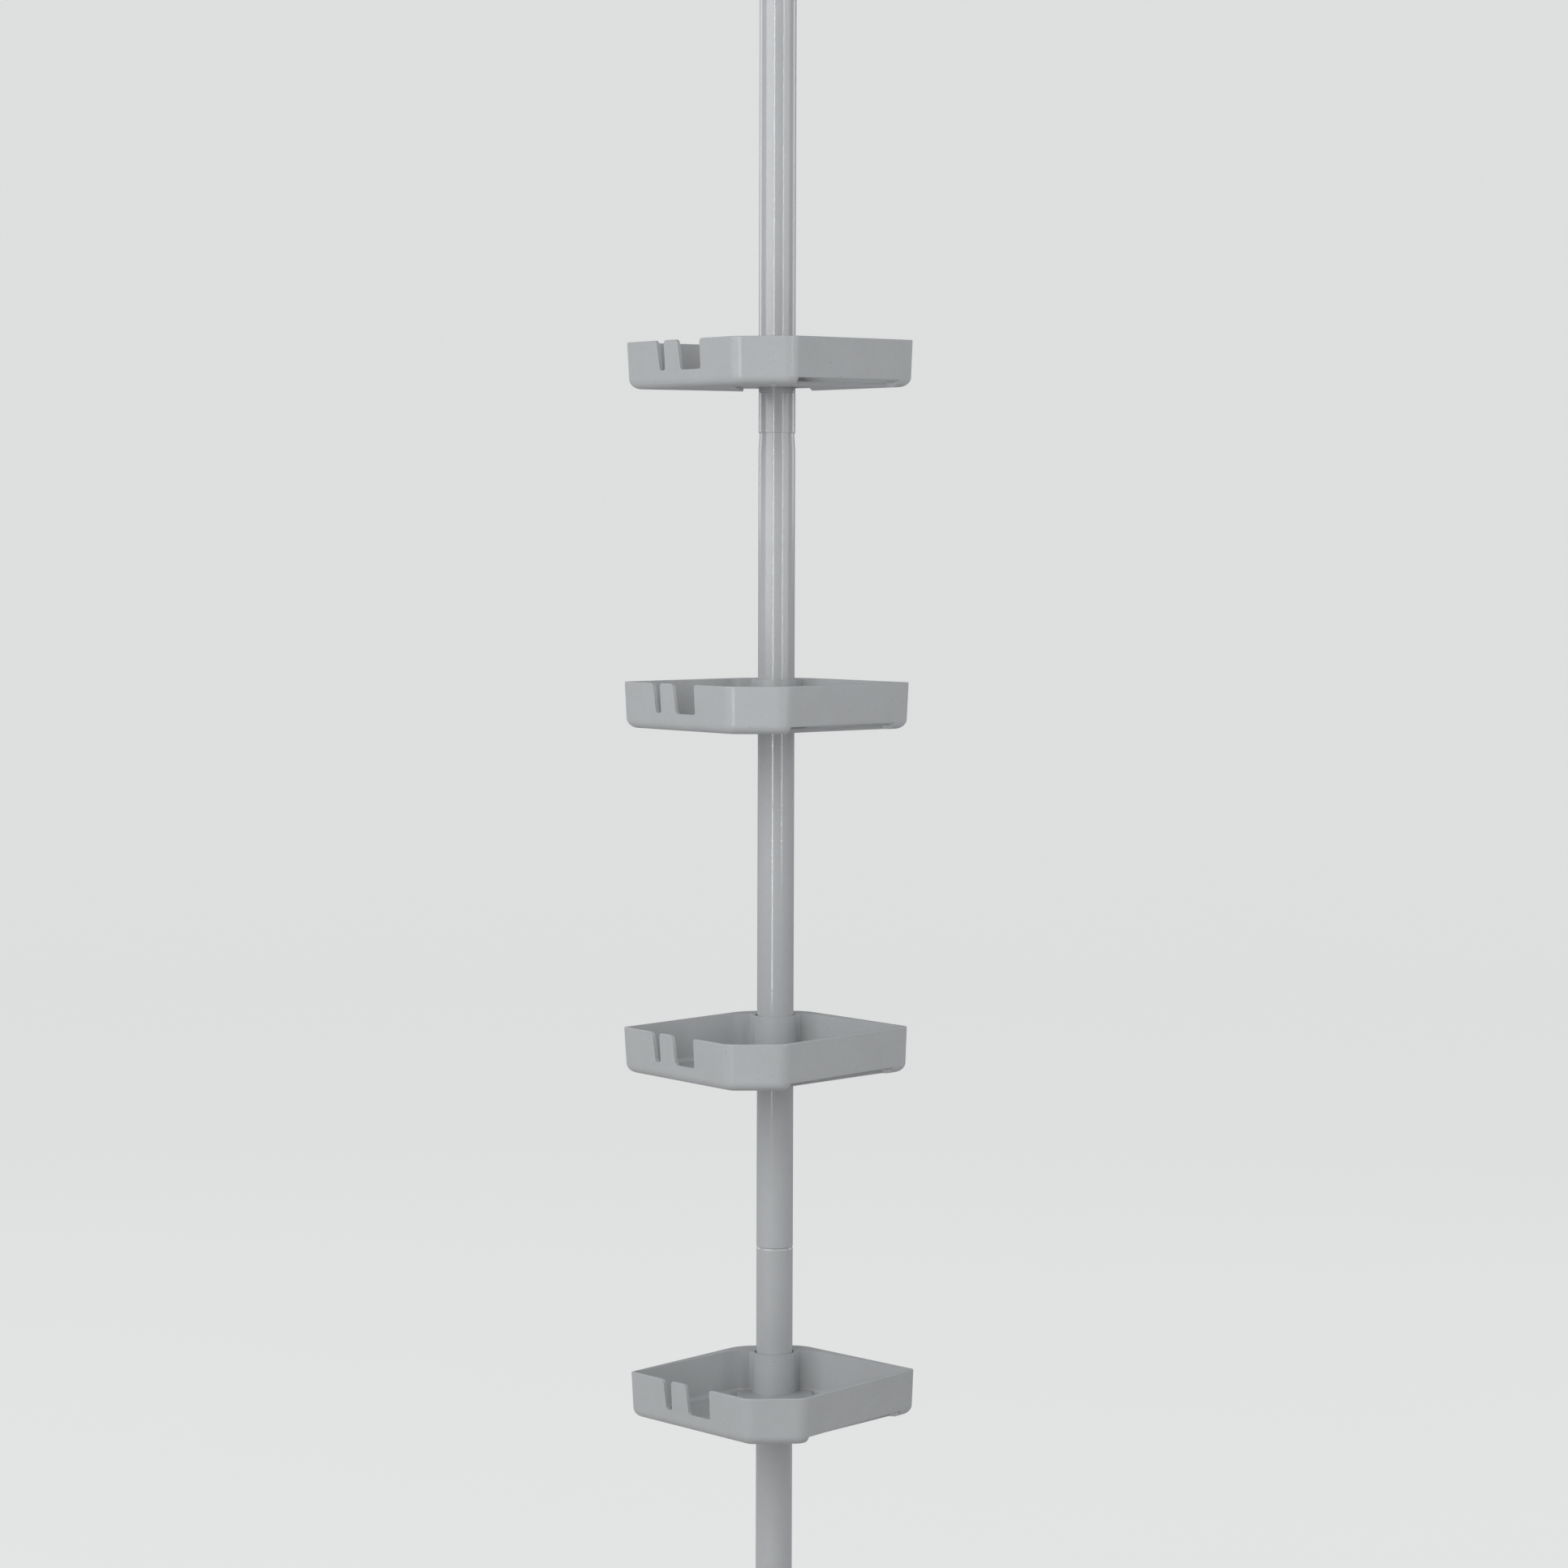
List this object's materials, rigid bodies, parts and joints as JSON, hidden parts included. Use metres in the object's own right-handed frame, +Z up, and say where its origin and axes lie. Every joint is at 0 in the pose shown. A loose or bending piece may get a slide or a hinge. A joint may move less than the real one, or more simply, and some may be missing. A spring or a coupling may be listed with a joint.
{
  "type": "shower caddy",
  "caption": "Corner shower caddy: notched plastic corner trays on a sectional one-inch tension pole with a sprung top end and soft feet.",
  "frame": {"origin": "on the floor, at the pole's axis, centre of the bottom foot pad's face", "axes": "+Z up the pole; the trays' fronts face -Y; +X to the right seen from the front"},
  "size_m": [0.1979, 0.1718, 2.3784],
  "materials": {
    "pole_paint": "semi-gloss light grey powder coat",
    "tray_plastic": "semi-gloss moulded light grey",
    "sleeve_plastic": "matt moulded grey",
    "plug_plastic": "matt moulded grey",
    "pad_rubber": "soft matt grey elastomer",
    "spring_steel": "bright drawn wire"
  },
  "bodies": {
    "pole": {"bottom_foot_pad": "pad_rubber", "bottom_plug": "plug_plastic", "pole_tube_1": "pole_paint", "pole_tube_2": "pole_paint", "pole_tube_3": "pole_paint", "pole_tube_4": "pole_paint", "guide_bush": "plug_plastic", "spring_stop": "plug_plastic", "tension_spring": "spring_steel"},
    "top_end": {"sliding_tube": "pole_paint", "spring_follower": "plug_plastic", "top_plug": "plug_plastic", "top_foot_pad": "pad_rubber"},
    "sleeve_1": {"sleeve_front_1": "sleeve_plastic", "sleeve_rear_1": "sleeve_plastic"},
    "tray_1": {"tray_1": "tray_plastic"},
    "sleeve_2": {"sleeve_front_2": "sleeve_plastic", "sleeve_rear_2": "sleeve_plastic"},
    "tray_2": {"tray_2": "tray_plastic"},
    "sleeve_3": {"sleeve_front_3": "sleeve_plastic", "sleeve_rear_3": "sleeve_plastic"},
    "tray_3": {"tray_3": "tray_plastic"},
    "sleeve_4": {"sleeve_front_4": "sleeve_plastic", "sleeve_rear_4": "sleeve_plastic"},
    "tray_4": {"tray_4": "tray_plastic"}
  },
  "joints": [
    {"name": "top_end_slide", "type": "slide", "parent": "pole", "child": "top_end", "axis": [0, 0, 1], "range_m": [-0.045, 0], "stiffness_N_per_m": 1500, "springref_m": 0.03, "deforming": ["tension_spring"]},
    {"name": "tray_1_height", "type": "slide", "parent": "pole", "child": "sleeve_1", "axis": [0, 0, 1], "range_m": [-0.09, 0.09]},
    {"name": "tray_1_swivel", "type": "hinge", "parent": "sleeve_1", "child": "tray_1", "pos_m": [0, 0, 0.4842], "axis": [0, 0, 1], "continuous": true},
    {"name": "tray_2_height", "type": "slide", "parent": "pole", "child": "sleeve_2", "axis": [0, 0, 1], "range_m": [-0.09, 0.09]},
    {"name": "tray_2_swivel", "type": "hinge", "parent": "sleeve_2", "child": "tray_2", "pos_m": [0, 0, 0.7209], "axis": [0, 0, 1], "continuous": true},
    {"name": "tray_3_height", "type": "slide", "parent": "pole", "child": "sleeve_3", "axis": [0, 0, 1], "range_m": [-0.09, 0.09]},
    {"name": "tray_3_swivel", "type": "hinge", "parent": "sleeve_3", "child": "tray_3", "pos_m": [0, 0, 0.9547], "axis": [0, 0, 1], "continuous": true},
    {"name": "tray_4_height", "type": "slide", "parent": "pole", "child": "sleeve_4", "axis": [0, 0, 1], "range_m": [-0.09, 0.09]},
    {"name": "tray_4_swivel", "type": "hinge", "parent": "sleeve_4", "child": "tray_4", "pos_m": [0, 0, 1.185], "axis": [0, 0, 1], "continuous": true}
  ]
}
